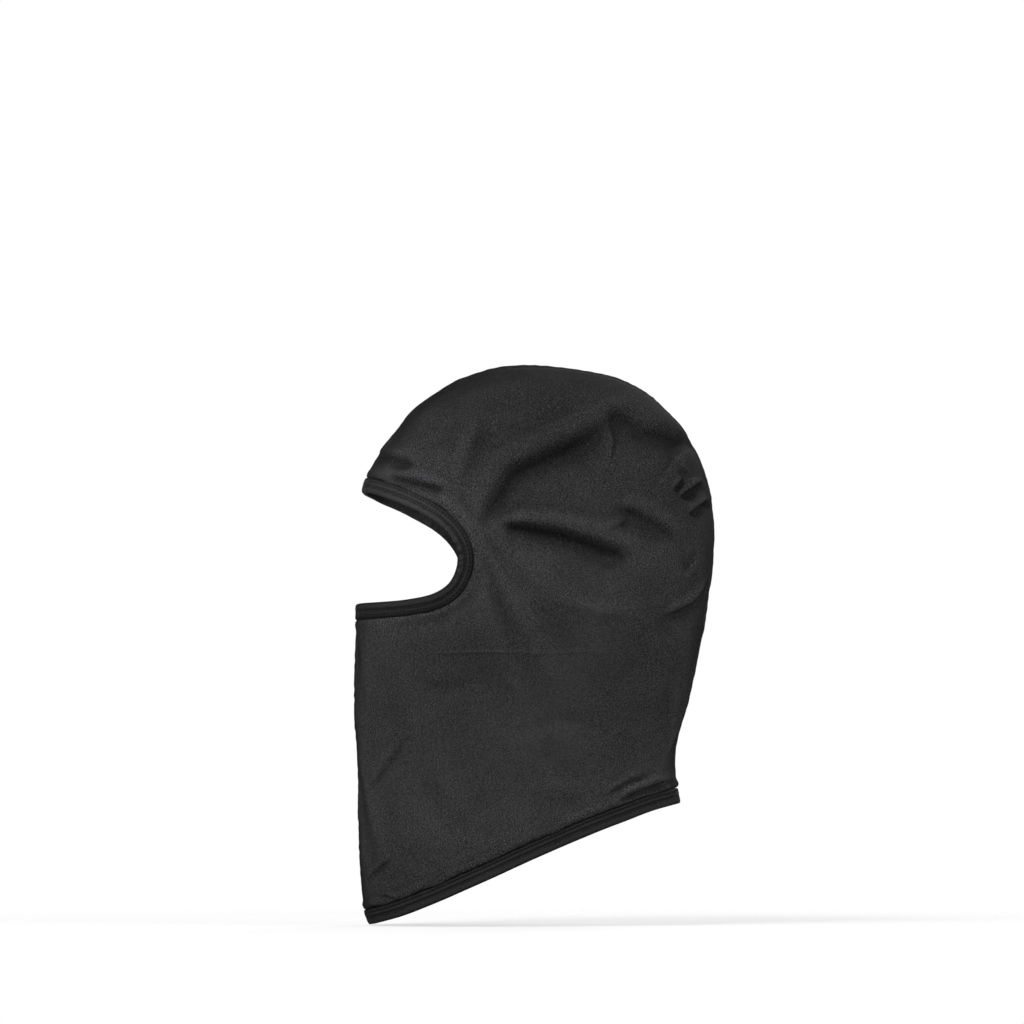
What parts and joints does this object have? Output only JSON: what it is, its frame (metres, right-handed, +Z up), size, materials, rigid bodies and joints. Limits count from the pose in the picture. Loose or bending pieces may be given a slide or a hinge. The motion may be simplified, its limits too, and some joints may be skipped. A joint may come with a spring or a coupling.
{
  "type": "balaclava",
  "caption": "Stretch-jersey balaclava that covers the head and neck, with one face opening and a hem that slopes from nape to throat.",
  "frame": {"origin": "centre of the bounding box's underside, on the mid plane, level with the throat tip of the hem", "axes": "+Z up towards the crown, the face looks along -Y, +X is the wearer's left"},
  "size_m": [0.1632, 0.2394, 0.3736],
  "materials": {
    "jersey": "matte brushed jersey, charcoal black",
    "binding": "smooth self-fabric binding, charcoal black with a slight sheen",
    "thread": "textured polyester thread, black",
    "label": "woven satin tape, off-white, blank"
  },
  "bodies": {
    "root": {"left_panel": "jersey", "right_panel": "jersey", "face_binding": "binding", "hem_binding": "binding", "crown_seam_needle_thread": "thread", "crown_seam_looper_thread": "thread", "throat_seam_needle_thread": "thread", "throat_seam_looper_thread": "thread", "face_needle_thread_inner": "thread", "face_needle_thread_outer": "thread", "face_looper_thread": "thread", "hem_needle_thread_lower": "thread", "hem_needle_thread_upper": "thread", "hem_looper_thread": "thread", "care_label": "label"}
  },
  "joints": []
}
